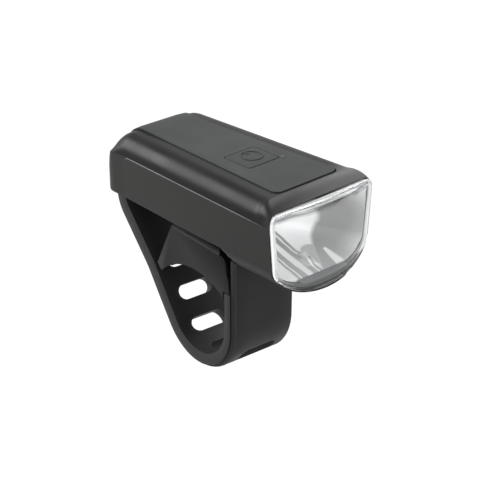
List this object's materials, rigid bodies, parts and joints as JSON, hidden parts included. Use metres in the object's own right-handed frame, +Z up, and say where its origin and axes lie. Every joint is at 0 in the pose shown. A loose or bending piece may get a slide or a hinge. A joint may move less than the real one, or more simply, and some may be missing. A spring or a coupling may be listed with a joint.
{
  "type": "bicycle headlight",
  "caption": "Long black bicycle headlight with a bulging clear front lens, rubber top pad and push button, turning on a saddle that a slotted rubber strap holds to a handlebar.",
  "frame": {"origin": "centre of the handlebar that the strap closes round, half way along the strap's width", "axes": "+X along the handlebar, -Y the way the light faces when its head is straight ahead, +Z up"},
  "size_m": [0.0395, 0.0815, 0.0643],
  "materials": {
    "housing_plastic": "fine moulded grain, black",
    "side_plastic": "fine moulded grain, slightly warm dark grey",
    "strap_rubber": "matt black, soft moulded skin",
    "liner_rubber": "matt black",
    "steel": "plated",
    "slide_washer": "natural nylon",
    "seal_rubber": "matt black silicone",
    "clear_lens": "clear, polished",
    "silvered_plastic": "metallised, mirror bright",
    "shroud_plastic": "dark grey, smooth",
    "phosphor": "yellow phosphor under clear resin",
    "metal_core_board": "white solder mask",
    "bare_aluminium": "plain",
    "cell_pouch": "satin foil",
    "foam": "closed-cell foam",
    "green_board": "green solder mask",
    "switch_plastic": "plain",
    "light_pipe": "translucent",
    "pad_rubber": "matt dark grey, slightly cool"
  },
  "bodies": {
    "mount": {"mount_base": "housing_plastic", "saddle_liner": "liner_rubber", "strap": "strap_rubber", "strap_pin": "steel", "spring_washer": "steel", "swivel_washer": "slide_washer"},
    "head": {"pivot_screw": "steel", "lower_housing": "side_plastic", "top_housing": "housing_plastic", "housing_seal": "seal_rubber", "housing_screws": "steel", "front_lens": "clear_lens", "lens_gasket": "seal_rubber", "reflector": "silvered_plastic", "led_shroud": "shroud_plastic", "led_emitter": "phosphor", "led_board": "metal_core_board", "heat_sink": "bare_aluminium", "heat_sink_screws": "steel", "battery_cell": "cell_pouch", "battery_foam": "foam", "main_circuit_board": "green_board", "board_screws": "steel", "usb_socket": "steel", "tactile_switch": "switch_plastic", "indicator_light": "light_pipe", "top_pad": "pad_rubber"},
    "button": {"power_button": "pad_rubber", "switch_plunger": "switch_plastic"},
    "port_cover": {"charge_port_cover": "pad_rubber"}
  },
  "joints": [
    {"name": "head_swivel", "type": "hinge", "parent": "mount", "child": "head", "pos_m": [0, 0, 0.0256], "axis": [0, 0, 1], "range_deg": [-25, 15]},
    {"name": "button_press", "type": "slide", "parent": "head", "child": "button", "axis": [0, 0, -1], "range_m": [0, 0.0005], "stiffness_N_per_m": 5000},
    {"name": "port_cover_hinge", "type": "hinge", "parent": "head", "child": "port_cover", "pos_m": [-0.00267, 0.03048, 0.0405], "axis": [0.9962, 0.0872, 0], "range_deg": [0, 90]}
  ]
}
